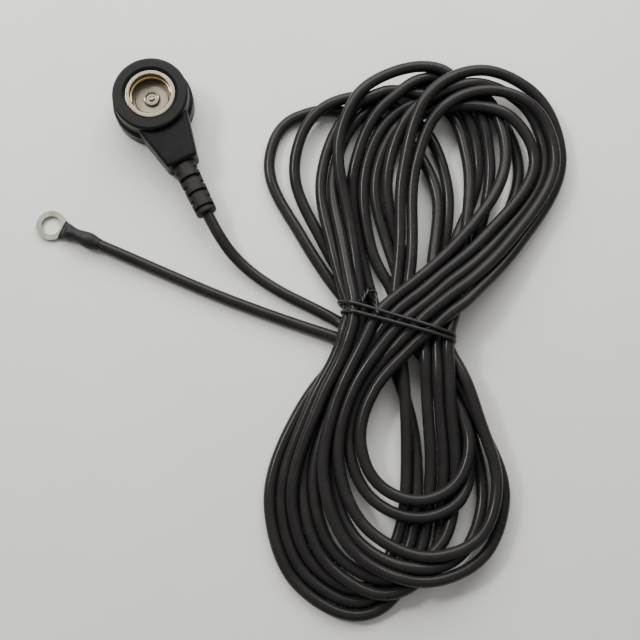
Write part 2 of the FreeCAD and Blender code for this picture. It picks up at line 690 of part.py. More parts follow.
def make_cord_hank():
    """The hank's outer shape, as one solid with the two long openings between its bundles of turns."""
    body = make_body("cord_hank", AT_HANK)
    sketch = make_sketch(body, "hank_outline", "XY_Plane")
    edge = Part.BSplineCurve()
    edge.interpolate([Vector(u, v, 0) for u, v in HANK_OUTLINE], PeriodicFlag=True)
    sketch.addGeometry(edge, False)
    extrude(body, "hank_block", sketch, dim("hank_height"))
    round_edges(body, "hank_rounding", lambda edge: len(edge.Vertexes) == 1, dim("hank_edge"))
    for name in ("upper", "lower"):
        middle_u, half = dim(name + "_middle"), dim(name + "_half")
        low, high = dim(name + "_start"), dim(name + "_end")
        window = make_sketch(body, name + "_window_outline", "XY_Plane")
        outline(window, [
            (middle_u + half, low, half), (middle_u + half, high), (middle_u - half, high, half),
            (middle_u - half, low),
        ])
        extrude(body, name + "_window", window, dim("hank_height"), kind="Pocket", back=True)
        removed(body, name + "_window")
    for name, lift in (("under", 0.0), ("over", dim("hank_height") - dim("tie_channel"))):
        way = make_sketch(body, name + "_channel_outline", "XY_Plane", lift=lift)
        reach = dim("waist_half") + dim("channel_margin")
        half = dim("channel_half")
        outline(way, [(-reach, -half), (reach, -half), (reach, half), (-reach, half)])
        extrude(body, name + "_channel", way, dim("tie_channel"), kind="Pocket", back=True)
        removed(body, name + "_channel")
    return body


def make_tie_wrap():
    """Two turns of covered wire round the hank's waist, side by side."""
    wire = dim("tie_wire")
    corner = number(dim("tie_corner"))
    half = dim("waist_half") + wire + dim("tie_gap") + dim("tie_clear")
    low = wire
    high = dim("hank_height") - dim("tie_channel") + dim("tie_gap") + wire
    loops = []
    for name, shift in (("first_turn", dim("tie_spread")), ("second_turn", -dim("tie_spread"))):
        body = make_body(name, AT_HANK)
        path = make_sketch(body, name + "_path", "XZ_Plane", lift=shift)
        outline(path, [
            (half - corner, low), (half, low + corner, corner), (half, high - corner),
            (half - corner, high, corner), (-half + corner, high), (-half, high - corner, corner),
            (-half, low + corner), (-half + corner, low, corner),
        ])
        section = make_sketch(body, name + "_section", "YZ_Plane")
        circle(section, wire, -shift, low)
        pipe = body.newObject("PartDesign::AdditivePipe", name + "_pipe")
        pipe.Profile = section
        pipe.Spine = path
        loops.append(body)
    return make_group("tie_wrap", loops)


def make_tie_twist():
    """The tie's two ends twisted together, lying up the hank from the tie."""
    body = turned_body("tie_twist", [
        (0, 0), (dim("twist_radius"), 0), (dim("twist_radius"), dim("twist_length")), (0, dim("twist_length")),
    ])
    lie = Rotation(Vector(0, 0, 1), Vector(-0.4, 0.91, 0))
    rest = number(dim("hank_height") + dim("twist_radius") + dim("fit_gap"))
    foot = Vector(-number(dim("twist_across")), number(dim("twist_along")), rest)
    body.Placement = AT_HANK.multiply(Placement(foot, lie))
    return body


def main():
    electric, near_lead = make_resistor()
    ring_lead = make_lead("ring_lead", RING_ROUTE)
    terminal = make_ring_terminal()
    strands = make_terminal_conductor()
    pieces = [
        make_rear_shell(), make_front_shell(), make_strain_relief(), make_socket_shell(),
        make_retaining_spring(), make_socket_cup(), make_socket_eyelet(), make_backing_washer(),
        make_solder_tag(), make_solder_joint(near_lead), make_lead_splice(),
        make_lead("snap_lead", SNAP_ROUTE), make_cord_hank(), ring_lead, terminal, strands,
        make_heat_shrink([terminal, strands, ring_lead]), make_tie_wrap(), make_tie_twist(),
    ] + electric + make_cord_end()
    DOC.recompute()

    failed = [obj.Name for obj in DOC.Objects if "Invalid" in obj.State or "Error" in obj.State]
    if failed:
        raise RuntimeError("objects that failed: %s" % ", ".join(failed))
    for piece in pieces:
        if piece.Shape.isNull() or not piece.Shape.isValid() or piece.Shape.Volume <= 0:
            raise RuntimeError("bad shape: %s" % piece.Label)

    os.makedirs("parts", exist_ok=True)
    for piece in pieces:
        piece.Shape.exportStep(os.path.join("parts", piece.Label + ".step"))
        box = piece.Shape.BoundBox
        print("%-18s solids %d volume %9.2f z %.2f to %.2f" % (
            piece.Label, len(piece.Shape.Solids), piece.Shape.Volume, box.ZMin, box.ZMax))
    print("%d nodes" % len(pieces))


main()
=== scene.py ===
import math

import bmesh
import bpy
import numpy as np
from mathutils import Matrix, Vector, noise


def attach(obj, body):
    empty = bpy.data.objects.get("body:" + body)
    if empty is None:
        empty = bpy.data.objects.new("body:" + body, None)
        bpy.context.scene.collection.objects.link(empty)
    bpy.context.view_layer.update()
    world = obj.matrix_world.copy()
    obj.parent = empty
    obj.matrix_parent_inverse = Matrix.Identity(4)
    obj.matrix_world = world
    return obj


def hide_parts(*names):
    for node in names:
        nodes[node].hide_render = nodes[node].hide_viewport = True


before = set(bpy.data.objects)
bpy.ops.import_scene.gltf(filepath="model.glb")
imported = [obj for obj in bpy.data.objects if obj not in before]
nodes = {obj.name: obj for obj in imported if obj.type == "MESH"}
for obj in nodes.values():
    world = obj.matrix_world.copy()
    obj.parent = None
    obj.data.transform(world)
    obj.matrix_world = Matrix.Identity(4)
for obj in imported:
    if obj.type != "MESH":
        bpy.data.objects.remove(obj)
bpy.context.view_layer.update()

# A static-control grounding cord: a moulded snap socket, a long thin cord kept in a tied hank, and a
# ring terminal. Metres, in the frame of the design: the origin is on the socket's axis, on the surface
# that the cord lies on, +Z is up and -Y is the way the cord leaves the housing.
MM = 0.001

# ---------------------------------------------------------------- sizes and places

CORD_RADIUS = 1.5 * MM
SNAP_EXIT = (0.0, -0.0338, 0.0048)

# The two leads, straight out of the strain relief and out of the terminal's heat shrink, each laid on the
# surface and running in under the hank's waist.
SNAP_ROUTE = [
    SNAP_EXIT, (0.0001, -0.0398, 0.0045), (0.0013, -0.0464, 0.0025),
    (0.0041, -0.0532, 0.00155), (0.0084, -0.0603, 0.0015), (0.0133, -0.0666, 0.0016),
    (0.0183, -0.0736, 0.0017),
]
RING_ROUTE = [
    (-0.03105, -0.02526, 0.00215), (-0.02503, -0.03221, 0.00215),
    (-0.0172, -0.0414, 0.00155), (-0.0066, -0.0539, 0.0015), (0.0059, -0.0671, 0.0015),
    (0.0165, -0.0775, 0.0017),
]

# The hank's own frame: u runs across it along the tie, v runs up its length, in millimetres.
HANK_CENTRE = Vector((30.5, -81.4, 0.0))
HANK_TURN = math.radians(-26.0)

# Where the camera stands: in front of the hank and high above it, looking at a point on the table.
AIM = Vector((0.0142, -0.0706, 0.0))
VIEW_AZIMUTH = math.radians(26.0)
VIEW_ELEVATION = math.radians(78.5)
VIEW_DISTANCE = 0.300
VIEW_LENS = 65.9
NEAREST_SEEN = 0.01

# Each light: its place from the point looked at, its width and depth, its power in watts and its colour.
LIGHTS = {
    "top_window": ((0.12, 0.30, 0.26), (0.6, 0.35), 3.6, (1.0, 0.995, 0.975)),
    "side_window": ((-0.42, 0.55, 0.75), (0.22, 0.14), 5.0, (1.0, 0.99, 0.965)),
    "soft_fill": ((0.3, -0.3, 1.1), (1.2, 1.2), 1.4, (1.0, 0.99, 0.965)),
}
ROOM_COLOUR = (1.0, 0.985, 0.96, 1.0)
ROOM_STRENGTH = 0.28
TABLE_SIZE = 2.0


def to_hank(point):
    """A point of a lead's route in the hank's frame, in millimetres."""
    return Matrix.Rotation(-HANK_TURN, 3, "Z") @ (Vector(point) / MM - HANK_CENTRE)


def from_hank(point):
    """A point of the hank's frame in the object's frame, in metres."""
    return (Matrix.Rotation(HANK_TURN, 3, "Z") @ Vector(point) + HANK_CENTRE) * MM


# ---------------------------------------------------------------- camera, light and floor


def make_camera():
    camera = bpy.data.objects.new("camera", bpy.data.cameras.new("camera"))
    bpy.context.scene.collection.objects.link(camera)
    level = VIEW_DISTANCE * math.cos(VIEW_ELEVATION)
    away = Vector((-level * math.sin(VIEW_AZIMUTH), -level * math.cos(VIEW_AZIMUTH),
                   VIEW_DISTANCE * math.sin(VIEW_ELEVATION)))
    camera.location = AIM + away
    camera.rotation_euler = (-away).to_track_quat("-Z", "Y").to_euler()
    camera.data.lens = VIEW_LENS
    camera.data.clip_start = NEAREST_SEEN
    bpy.context.scene.camera = camera


def make_light(name, place, size, power, colour):
    light = bpy.data.lights.new(name, "AREA")
    light.shape = "RECTANGLE"
    light.size, light.size_y = size
    light.energy = power
    light.color = colour
    lamp = bpy.data.objects.new(name, light)
    bpy.context.scene.collection.objects.link(lamp)
    lamp.location = AIM + Vector(place)
    lamp.rotation_euler = (-Vector(place)).to_track_quat("-Z", "Y").to_euler()


def make_studio():
    for name, (place, size, power, colour) in LIGHTS.items():
        make_light(name, place, size, power, colour)
    world = bpy.data.worlds.new("studio")
    bpy.context.scene.world = world
    world.use_nodes = True
    room = world.node_tree.nodes["Background"]
    room.inputs["Color"].default_value = ROOM_COLOUR
    room.inputs["Strength"].default_value = ROOM_STRENGTH


make_camera()
make_studio()

# ---------------------------------------------------------------- how the hank is laid

# The hank's loops in the order in which the cord runs through them, upper and lower by turns. Each has
# the side that the cord comes in by, then (across, along) from the tie for its left side, its turn and
# its right side, its layer, and (across, layer, kind) of the run past the tie that follows it.
LOOPS = [
    ("left", (-7.7, 40.0), (15.0, 62.0), (32.4, 44.0), 0.7, (7.5, 1.0, "right")),
    ("right", (-31.4, -44.0), (-11.0, -69.8), (8.0, -38.0), 0.0, (-12.3, 0.0, "left")),
    ("left", (-32.9, 45.0), (-20.5, 58.3), (10.8, 37.0), 0.0, (9.5, 1.0, "right")),
    ("right", (-23.7, -42.0), (-5.0, -65.0), (11.7, -38.0), 0.9, (-9.5, 0.0, "left")),
    ("left", (-26.1, 43.0), (-9.0, 61.7), (14.3, 38.0), 0.3, (9.5, 0.0, "right")),
    ("right", (-18.3, -40.0), (7.0, -62.3), (25.8, -43.0), 1.8, (-5.0, 1.0, "over")),
    ("right", (-10.5, 42.0), (12.0, 65.6), (28.3, 44.0), 1.5, (-3.0, 0.0, "under")),
    ("right", (-29.0, -45.0), (-8.0, -68.0), (4.6, -33.0), 0.3, (-12.0, 1.0, "left")),
    ("left", (-19.0, 39.0), (5.0, 62.8), (18.6, 45.0), 0.9, (12.5, 1.0, "right")),
    ("right", (-21.0, -42.0), (-2.0, -62.6), (13.8, -38.0), 1.2, (-9.0, 1.0, "left")),
    ("left", (-13.6, 50.0), (12.0, 68.2), (25.3, 45.0), 1.5, (12.0, 0.0, "right")),
    ("right", (-15.3, -33.0), (9.0, -57.8), (23.6, -42.0), 2.1, (1.0, 1.0, "over")),
    ("right", (-2.4, 40.0), (22.0, 64.5), (39.2, 45.0), 2.1, (10.0, 0.0, "under")),
    ("right", (-16.5, -37.0), (3.0, -60.0), (19.5, -46.0), 1.3, (-2.0, 1.0, "over")),
    ("right", (-5.0, 42.0), (17.0, 60.0), (36.0, 46.0), 1.6, (7.5, 0.0, "under")),
    ("right", (-12.3, -30.0), (5.0, -47.8), (18.6, -35.0), 2.4, (4.0, 1.6, "over")),
    ("right", (5.5, 42.0), (26.0, 62.5), (41.3, 46.0), 2.5, (5.0, 0.0, "under")),
    ("right", (-9.8, -28.0), (4.5, -43.5), (18.0, -31.0), 2.7, (7.0, 2.0, "over")),
    ("right", (1.6, 40.0), (24.5, 67.5), (43.6, 46.0), 2.7, (-2.5, 0.6, "under")),
    ("right", (-26.3, -45.0), (-6.0, -66.5), (2.6, -30.0), 0.6, (-10.5, 2.0, "left")),
    ("left", (-16.3, 40.0), (8.0, 64.2), (22.0, 46.0), 0.8, (3.5, -0.3, "right")),
]
# How each kind of run leaves the tie, above and below it: how far it bows out, and how far it first
# keeps straight, as shares of how far the loop stands out.
BOWS = {"left": ((0.10, 0.0), (0.12, 0.16)), "right": ((0.15, 0.0), (0.08, 0.0)),
        "over": ((0.17, 0.0), (0.28, 0.0)), "under": ((0.20, 0.0), (0.20, 0.0))}
# How far along a run, as shares of its length, its two inner points are.
RUN_SHARES = (0.16, 0.47)
# Layers are told apart from this far off the tie, and fully once they have spread for this long.
SPREAD_START = 3.0
SPREAD_LENGTH = 25.0
# A lower loop whose right side is nearer than this goes up under the straight runs, and these are the
# shares of its height that the three points of that run keep.
INNER_SIDE = 20.0
TUCKED_RUN = (0.55, -0.1, -0.1)
# From the snap lead's end round to the first loop, and from the last one out to the ring lead.
LOWEST_LAYER = -0.3
WAY_IN = [(-9.0, -0.8, LOWEST_LAYER), (-3.2, -1.4, LOWEST_LAYER), (1.2, 2.2, LOWEST_LAYER),
          (1.6, 9.0, -0.2)]
WAY_OUT = [(-1.5, -4.4, LOWEST_LAYER), (-8.0, -4.6, LOWEST_LAYER)]
LAYER_STEP = 3.4

# The tie slants across the hank: its slope and its height on the hank's axis, the radius of its wire,
# and half the width and the height of the waist that it draws in.
TIE_SLOPE = 0.295
TIE_START = 0.22
TIE_WIRE = 0.5
WAIST_HALF = 11.2
WAIST_TOP = 7.9


def tie_along(across):
    """How far along the hank the slanting tie is, at a place across it."""
    return TIE_START - TIE_SLOPE * across


def side_run(foot, side, bow):
    """From the tie out to where a loop is widest: (across, along) points, on a bowed line."""
    start = tie_along(foot)
    run = []
    for share in RUN_SHARES:
        swing = share + bow[0] * math.sin(math.pi * share) - bow[1] * math.sin(2 * math.pi * share)
        run.append((foot + (side[0] - foot) * swing, start + (side[1] - start) * share))
    return run + [side]


def half_turn(loop, left_foot, right_foot):
    """A loop from its left foot round to its right foot, as (across, along, layer) points."""
    _, left, turn, right, layer, _ = loop
    below = int(turn[1] < 0)
    corner = math.sqrt(0.5)
    flat = side_run(left_foot[0], left, BOWS[left_foot[2]][below])
    for side in (left, right):
        shoulder = (turn[0] + (side[0] - turn[0]) * corner, side[1] + (turn[1] - side[1]) * corner)
        flat += [shoulder, turn] if side is left else [shoulder]
    flat += reversed(side_run(right_foot[0], right, BOWS[right_foot[2]][below]))
    tucked = below and right_foot[2] == "under" and right[0] < INNER_SIDE
    right_run = len(flat) - len(TUCKED_RUN)
    points = []
    for i, (across, along) in enumerate(flat):
        foot_layer = left_foot[1] if i < len(flat) // 2 else right_foot[1]
        spread = min(1.0, max(0.0, (abs(along) - SPREAD_START) / SPREAD_LENGTH))
        if tucked and i >= right_run:
            spread *= TUCKED_RUN[i - right_run]
        points.append((across, along, foot_layer + (layer - foot_layer) * spread))
    return points


def hank_guide():
    """The whole hank from lead to lead, as (across, along, layer) points before it settles."""
    points = list(WAY_IN)
    foot = (WAY_IN[-1][0], WAY_IN[-1][2], "under")
    for loop in LOOPS:
        next_foot = loop[-1]
        if loop[0] == "left":
            turn = half_turn(loop, foot, next_foot)
        else:
            turn = half_turn(loop, next_foot, foot)[::-1]
        points += turn[1:] if loop is LOOPS[0] else turn
        points.append((next_foot[0], tie_along(next_foot[0]), next_foot[1]))
        foot = next_foot
    return points + WAY_OUT


# ---------------------------------------------------------------- how the cord settles

# The line is first drawn at this step, in millimetres, then divided evenly.
FINE_STEP = 0.4
PAIR_BLOCK = 256
# The cord settles as points this far apart; the air kept between its turns; and the length of cord
# within which points are too near along it to push each other. The finished cord keeps every third.
SPACING = 1.6
AIR_GAP = 0.03
OWN_LENGTH = 4.8
KEPT_EVERY = 3
# How many rounds it settles for, and the share of them in which it lies loose. Each pair below is for
# the loose rounds and for the last ones: the pull back to its plan, how far it sinks in a round, and
# how often turns push each other apart.
FULL_ROUNDS = 520
LOOSE_SHARE = 0.78
PLAN_PULL = (0.10, 0.004)
SINK = (0.04, 0.006)
PUSHES = (3, 6)
# Touching turns are looked up again every few rounds, among points this much beyond a diameter.
LOOK_EVERY = 8
LOOK_BEYOND = 1.0
# The cord's stiffness as (points away, give), its least radius of bend with the points away at which
# that is kept and its give, and the gives of its length and of turns that touch.
STIFFNESS = ((1, 0.30), (4, 0.15))
LEAST_BEND = 8.5
BEND_STRIDES = (2, 3)
BEND_GIVE = 0.5
LENGTH_GIVE = 0.15
TOUCH_GIVE = 0.3
CROWDING = 0.45
# Strands stand off the table by the tie's wires where those run below, and ramp down to it on both
# sides. The tie holds the waist's height within the first distance and its width within the second.
UNDER_TIE = 2.2
RAMP_FLAT = 2.0
RAMP_FALL = 0.45
WAIST_REACH = (5.0, 2.0)
WAIST_GIVE = (0.1, 0.3)
# Each held end is looked for among this many points.
END_POINTS = 80
TINY = 1e-9


def smooth_line(points, spacing):
    """A smooth line through the points, as points a given distance apart."""
    points = np.array(points, float)
    gaps = np.linalg.norm(np.diff(points, axis=0), axis=1)
    at = np.concatenate([[0.0], np.cumsum(gaps)])
    slopes = np.gradient(points, at, axis=0)
    line = []
    for i, gap in enumerate(gaps):
        steps = max(2, round(gap / FINE_STEP))
        s = np.linspace(0.0, 1.0, steps, endpoint=False)[:, None]
        line.append((2 * s**3 - 3 * s**2 + 1) * points[i] + (s**3 - 2 * s**2 + s) * gap * slopes[i]
                    + (3 * s**2 - 2 * s**3) * points[i + 1] + (s**3 - s**2) * gap * slopes[i + 1])
    line = np.concatenate(line + [points[-1:]])
    at = np.concatenate([[0.0], np.cumsum(np.linalg.norm(np.diff(line, axis=0), axis=1))])
    even = np.linspace(0.0, at[-1], round(at[-1] / spacing) + 1)
    return np.stack([np.interp(even, at, line[:, k]) for k in range(line.shape[1])], axis=1)


def close_pairs(line, reach, apart):
    """Pairs of points nearer than reach that are at least apart points from each other on the line."""
    firsts, seconds = [], []
    for start in range(0, len(line), PAIR_BLOCK):
        gap = line[start:start + PAIR_BLOCK, None, :] - line[None, :, :]
        first, second = np.nonzero((gap**2).sum(axis=2) < reach**2)
        first += start
        kept = second - first >= apart
        firsts.append(first[kept])
        seconds.append(second[kept])
    return np.concatenate(firsts), np.concatenate(seconds)


def settle(guide, held, spacing, rounds):
    """Lets the cord lie down: turns push each other a diameter apart, sink under their own weight and
    keep near the guide in plan, while the held points at both ends stay where they are."""
    diameter = 2 * CORD_RADIUS / MM + AIR_GAP
    own_points = round(OWN_LENGTH / spacing)
    aim = guide[:, :2].copy()
    line = guide.copy()
    for count in range(rounds):
        if count % LOOK_EVERY == 0:
            first, second = close_pairs(line.astype(np.float32), diameter + LOOK_BEYOND, own_points)
        stage = int(count >= int(LOOSE_SHARE * rounds))
        line[:, :2] += PLAN_PULL[stage] * (aim - line[:, :2])
        line[:, 2] -= SINK[stage]
        for stride, give in STIFFNESS:
            bend = 0.5 * (line[:-2 * stride] + line[2 * stride:]) - line[stride:-stride]
            aim_bend = 0.5 * (aim[:-2 * stride] + aim[2 * stride:]) - aim[stride:-stride]
            line[stride:-stride, 2] += give * bend[:, 2]
            line[stride:-stride, :2] += give * (bend[:, :2] - aim_bend)
        for stride in BEND_STRIDES:
            lean = 0.5 * (line[:-2 * stride] + line[2 * stride:]) - line[stride:-stride]
            most = (stride * spacing)**2 / (2 * LEAST_BEND)
            over = np.maximum(0.0, 1.0 - most / (np.linalg.norm(lean, axis=1) + TINY))
            ease = BEND_GIVE * over[:, None] * lean
            line[stride:-stride] += ease
            line[:-2 * stride] -= 0.5 * ease
            line[2 * stride:] -= 0.5 * ease
        step = line[1:] - line[:-1]
        run = np.linalg.norm(step, axis=1)[:, None]
        pull = LENGTH_GIVE * (run - spacing) / run * step
        line[:-1] += pull
        line[1:] -= pull
        for _ in range(PUSHES[stage]):
            gap = line[second] - line[first]
            far = np.sqrt((gap**2).sum(axis=1)) + TINY
            near = far < diameter
            shove = (TOUCH_GIVE * (diameter - far[near]) / far[near])[:, None] * gap[near]
            moved = np.zeros_like(line)
            hits = np.zeros(len(line))
            np.add.at(moved, first[near], -shove)
            np.add.at(moved, second[near], shove)
            np.add.at(hits, first[near], 1.0)
            np.add.at(hits, second[near], 1.0)
            line += moved / np.maximum(1.0, CROWDING * hits)[:, None]
            from_tie = np.abs(line[:, 1] - tie_along(line[:, 0]))
            ramp = np.clip(RAMP_FLAT - RAMP_FALL * from_tie, 0.0, 1.0)
            line[:, 2] = np.maximum(line[:, 2], CORD_RADIUS / MM + UNDER_TIE * TIE_WIRE * ramp)
        high = (from_tie < WAIST_REACH[0]) & (line[:, 2] > WAIST_TOP)
        line[high, 2] += WAIST_GIVE[0] * (WAIST_TOP - line[high, 2])
        wide = (from_tie < WAIST_REACH[1]) & (np.abs(line[:, 0]) > WAIST_HALF)
        line[wide, 0] += WAIST_GIVE[1] * (np.sign(line[wide, 0]) * WAIST_HALF - line[wide, 0])
        line[held] = guide[held]
    return line


def nearest_point(line, place):
    """Which point of a line is nearest to a place, seen from above."""
    return np.argmin(np.linalg.norm(line[:, :2] - np.array(place)[:2], axis=1))


def settled_hank():
    """The hank's turns as they lie, in the hank's frame, without the leads."""
    snap_end = [to_hank(point) for point in SNAP_ROUTE[-2:]]
    ring_end = [to_hank(point) for point in reversed(RING_ROUTE[-2:])]
    points = [tuple(p) for p in snap_end] + hank_guide() + [tuple(p) for p in ring_end]
    guide = smooth_line(points, SPACING)
    begin = nearest_point(guide[:END_POINTS], snap_end[1]) + 1
    finish = len(guide) - END_POINTS + nearest_point(guide[-END_POINTS:], ring_end[0])
    held = np.ones(len(guide), bool)
    held[begin:finish] = False
    guide[begin:finish, 2] = CORD_RADIUS / MM + LAYER_STEP * (guide[begin:finish, 2] - LOWEST_LAYER)
    guide[:begin, 2] = np.linspace(snap_end[0][2], snap_end[1][2], begin)
    guide[finish:, 2] = np.linspace(ring_end[0][2], ring_end[1][2], len(guide) - finish)
    line = settle(guide, held, SPACING, FULL_ROUNDS)
    return line[begin:finish]


def make_cord(settled):
    """The whole cord as one smooth line: snap lead, the hank's turns, ring lead."""
    turns = [from_hank(point) for point in settled[KEPT_EVERY - 1:-1:KEPT_EVERY]]
    points = [Vector(p) for p in SNAP_ROUTE] + turns + [Vector(p) for p in reversed(RING_ROUTE)]
    curve = bpy.data.curves.new("grounding_cord", "CURVE")
    curve.dimensions = "3D"
    curve.resolution_u = 4
    curve.bevel_depth = CORD_RADIUS
    curve.bevel_resolution = 5
    curve.use_fill_caps = True
    spline = curve.splines.new("NURBS")
    spline.points.add(len(points) - 1)
    for spot, place in zip(spline.points, points):
        spot.co = (*place, 1.0)
    spline.order_u = 3
    spline.use_endpoint_u = True
    cord = bpy.data.objects.new("grounding_cord", curve)
    bpy.context.scene.collection.objects.link(cord)
    return cord


# ---------------------------------------------------------------- pieces on the cord


def ring_of(bm, segments, place):
    """A ring of edges of radius 1 at a place, to be carried along by extruding."""
    made = bmesh.ops.create_circle(bm, cap_ends=False, segments=segments, radius=1.0, matrix=place)
    return list(dict.fromkeys(edge for vert in made["verts"] for edge in vert.link_edges))


def carry(bm, edges, move):
    """Extrudes a ring of edges and carries the new one by a transform."""
    made = bmesh.ops.extrude_edge_only(bm, edges=edges)["geom"]
    verts = [part for part in made if isinstance(part, bmesh.types.BMVert)]
    bmesh.ops.transform(bm, matrix=move, verts=verts)
    return [part for part in made if isinstance(part, bmesh.types.BMEdge)]


# How wide a wire's domed end starts, as a share of one step of its dome.
DOME_START = 0.6


def sweep(bm, path, radius, segments=12, closed=False, tips=2):
    """A round wire along a path: one ring carried from point to point, with domed ends unless closed."""
    count = len(path)
    turn = Vector((0.0, 0.0, 1.0)).rotation_difference(path[1] - path[0])
    along = path[1] - path[0]
    places = []
    for i, point in enumerate(path):
        if closed:
            ahead = path[(i + 1) % count] - path[i - 1]
        else:
            ahead = path[min(i + 1, count - 1)] - path[max(i - 1, 0)]
        turn = along.rotation_difference(ahead) @ turn
        along = ahead
        end = min(i, count - 1 - i)
        width = radius
        if not closed and end < tips:
            width = radius * math.sin(math.pi / 2 * (end + DOME_START) / (tips + DOME_START))
        places.append(Matrix.LocRotScale(point, turn, Vector((width, width, width))))
    first = edges = ring_of(bm, segments, places[0])
    for before, place in zip(places, places[1:]):
        edges = carry(bm, edges, place @ before.inverted())
    if closed:
        bmesh.ops.bridge_loops(bm, edges=first + edges)
    else:
        bmesh.ops.edgeloop_fill(bm, edges=first)
        bmesh.ops.edgeloop_fill(bm, edges=edges)


def finish_piece(bm, name, material):
    """Turns a bmesh in metres into a smooth-shaded piece that rides the cord's body."""
    bmesh.ops.recalc_face_normals(bm, faces=bm.faces)
    for face in bm.faces:
        face.smooth = True
    mesh = bpy.data.meshes.new(name)
    bm.to_mesh(mesh)
    bm.free()
    mesh.materials.append(material)
    piece = bpy.data.objects.new(name, mesh)
    bpy.context.scene.collection.objects.link(piece)
    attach(piece, "cord_assembly")
    return piece


# The tie's two turns: where each crosses the hank's axis, and how far it climbs for each step across;
# the air under them; and how near the tie's plane a strand has to come for the tie to hold it.
TIE_TURNS = ((1.42, -0.317), (-0.42, -0.285))
TIE_GAP = 0.06
TIE_GRASP = 0.9
TIE_STEP = 0.35
TIE_EASINGS = 4
TABLE_GAP = 0.03
HULL_CORNERS = 20
# The tie's ends, twisted together: up the hank from the tie, then folded over to the left. They rest on
# whatever strands are within reach of them.
TWIST_PATH = ((-5.2, 1.6), (-5.6, 4.2), (-5.5, 6.8), (-5.8, 8.6), (-6.8, 9.2), (-7.8, 8.2),
              (-8.7, 6.6), (-9.3, 5.0))
TWIST_WIRE = 0.36
TWIST_PITCH = 4.2
WIRE_STEP = 0.3
TWIST_GAP = 0.02
TWIST_LIFT = 0.25
TWIST_REACH = 2.2


def hull(points):
    """The convex outline of flat points, in order round it."""
    points = sorted(set(points))
    sides = []
    for row in (points, points[::-1]):
        side = []
        for point in row:
            while len(side) > 1 and ((side[-1][0] - side[-2][0]) * (point[1] - side[-2][1])
                                     <= (side[-1][1] - side[-2][1]) * (point[0] - side[-2][0])):
                side.pop()
            side.append(point)
        sides += side[:-1]
    return sides


def evenly(path, spacing, closed=False):
    """Points a given distance apart along a path."""
    path = np.array([*path, path[0]] if closed else path, float)
    at = np.concatenate([[0.0], np.cumsum(np.linalg.norm(np.diff(path, axis=0), axis=1))])
    count = max(3, round(at[-1] / spacing))
    spots = np.linspace(0.0, at[-1], count, endpoint=not closed)
    return np.stack([np.interp(spots, at, path[:, k]) for k in range(path.shape[1])], axis=1)


def turn_round(turns, rise, slope):
    """One turn of the tie: the tightest loop in its slanting plane round all the strands that it holds."""
    fine = smooth_line(turns, WIRE_STEP)
    lean = math.hypot(1.0, slope)
    off = (fine[:, 1] - rise - slope * fine[:, 0]) / lean
    across = (fine[:, 0] + slope * (fine[:, 1] - rise)) / lean
    near = np.abs(off) < TIE_GRASP
    reach = CORD_RADIUS / MM + TIE_WIRE + TIE_GAP
    spots = []
    for x, z in zip(across[near], fine[near, 2]):
        for step in range(HULL_CORNERS):
            angle = 2 * math.pi * step / HULL_CORNERS
            height = max(z + reach * math.sin(angle), TIE_WIRE + TABLE_GAP)
            spots.append((round(x + reach * math.cos(angle), 3), round(height, 3)))
    loop = evenly(hull(spots), TIE_STEP, closed=True)
    for _ in range(TIE_EASINGS):
        loop = 0.5 * loop + 0.25 * (np.roll(loop, 1, axis=0) + np.roll(loop, -1, axis=0))
    return [from_hank((x / lean, rise + slope * x / lean, z)) for x, z in loop]


def lying_on(turns, spots, lift):
    """Points over the hank that rest a given height above the strands below them."""
    rested = []
    for u, v in spots:
        near = np.hypot(turns[:, 0] - u, turns[:, 1] - v) < TWIST_REACH
        rested.append((u, v, turns[near, 2].max() + CORD_RADIUS / MM + lift))
    return np.array(rested)


def make_tie_turns(turns, material):
    """Two turns of covered wire round the hank's waist."""
    bm = bmesh.new()
    for rise, slope in TIE_TURNS:
        sweep(bm, turn_round(turns, rise, slope), TIE_WIRE * MM, closed=True)
    wrap = finish_piece(bm, "tie_turns", material)
    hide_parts("tie_wrap")
    return wrap


def make_tie_ends(turns, material):
    """The tie's two ends, twisted together and folded over on top of the hank."""
    path = lying_on(turns, TWIST_PATH, 2 * TWIST_WIRE)
    for _ in range(2):
        path[1:-1, 2] = 0.5 * path[1:-1, 2] + 0.25 * (path[:-2, 2] + path[2:, 2])
    path = smooth_line(path, WIRE_STEP)
    path[:, 2] += TWIST_LIFT
    bm = bmesh.new()
    for start in (0.0, math.pi):
        wire = []
        for i, point in enumerate(path):
            ahead = Vector(path[min(i + 1, len(path) - 1)] - path[max(i - 1, 0)]).normalized()
            level = ahead.cross(Vector((0.0, 0.0, 1.0))).normalized()
            angle = start + 2 * math.pi * WIRE_STEP * i / TWIST_PITCH
            aside = level * math.cos(angle) + level.cross(ahead) * math.sin(angle)
            wire.append(from_hank(Vector(point) + aside * (TWIST_WIRE + TWIST_GAP)))
        sweep(bm, wire, TWIST_WIRE * MM, segments=10)
    twist = finish_piece(bm, "tie_ends", material)
    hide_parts("tie_twist")
    return twist


# The heat shrink's outer shape along the terminal, from the middle of the ring: (along, half width, low,
# high, aside), flat over the tongue, close on the barrel, swollen over the end of the jacket.
RING_CENTRE = Vector((-37.6, -17.7, 0.0))
TERMINAL_TURN = math.radians(-49.1)
SHRINK_STATIONS = (
    (2.95, 2.74, 0.02, 1.40, 0.0), (3.6, 2.5, 0.02, 1.95, 0.0), (4.3, 2.26, 0.02, 3.0, 0.0),
    (5.0, 2.08, 0.02, 3.8, 0.0), (6.2, 1.78, 0.25, 3.95, 0.0), (7.7, 1.66, 0.42, 3.9, 0.02),
    (9.2, 1.84, 0.32, 4.05, 0.05), (10.4, 2.03, 0.16, 4.2, 0.0), (11.6, 2.02, 0.16, 4.18, 0.0),
    (12.7, 1.8, 0.36, 3.94, 0.0), (13.5, 1.62, 0.53, 3.77, 0.0), (14.0, 1.56, 0.59, 3.71, 0.0),
)
SHRINK_STEP = 0.22
SHRINK_SEGMENTS = 32
SHRINK_AXIS = 2.0
